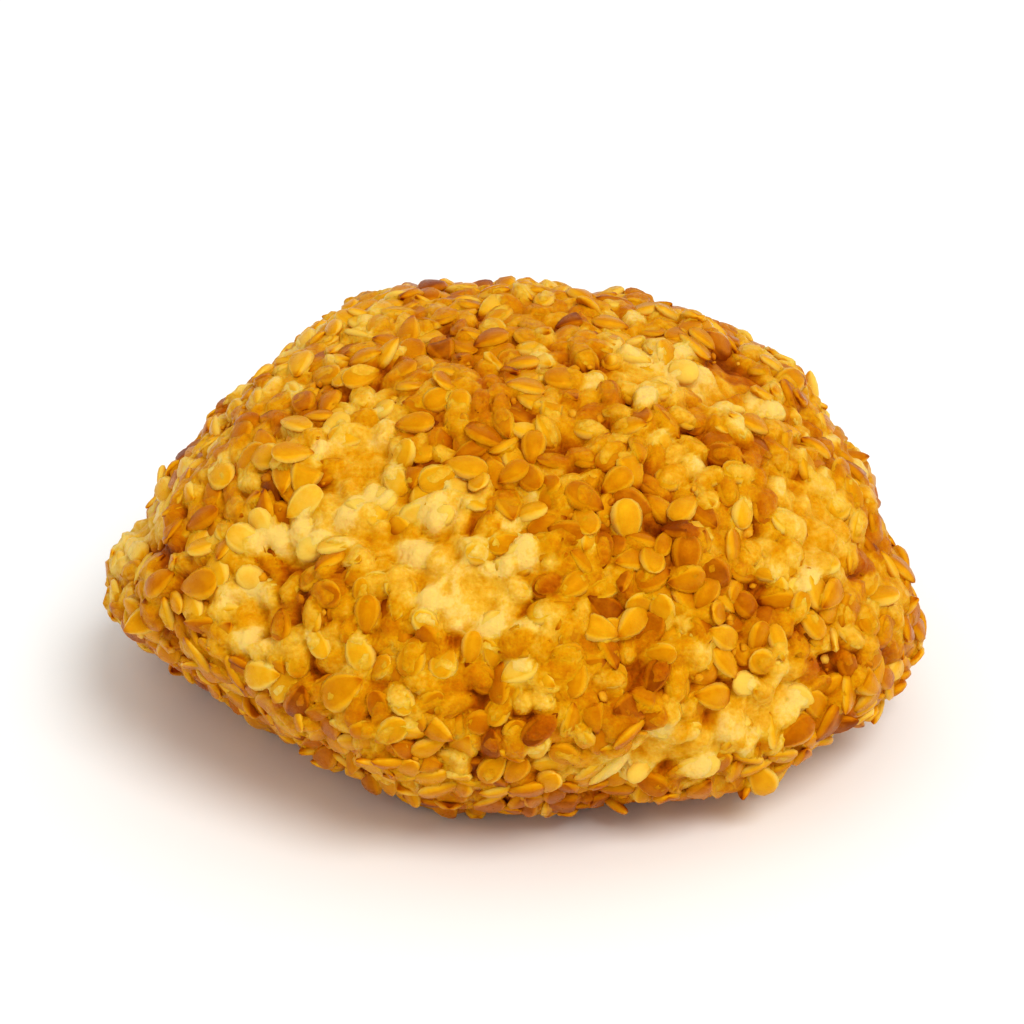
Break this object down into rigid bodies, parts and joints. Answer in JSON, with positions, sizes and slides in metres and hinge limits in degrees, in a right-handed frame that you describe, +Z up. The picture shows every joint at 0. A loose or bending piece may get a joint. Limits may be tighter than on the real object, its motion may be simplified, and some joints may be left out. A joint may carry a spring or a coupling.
{
  "type": "sesame cookie",
  "caption": "Small rounded cookie coated all over in toasted sesame seeds, with a flat baked base.",
  "frame": {"origin": "middle of the flat base, at the bottom of the cookie", "axes": "+Z up, so the base faces -Z, +X along the longer side, -Y towards the front"},
  "size_m": [0.056, 0.0506, 0.0275],
  "materials": {
    "baked_crust": "baked, faintly glossy",
    "sesame_seeds": "toasted, satin"
  },
  "bodies": {
    "root": {"sesame_cookie": "baked_crust"}
  },
  "joints": []
}
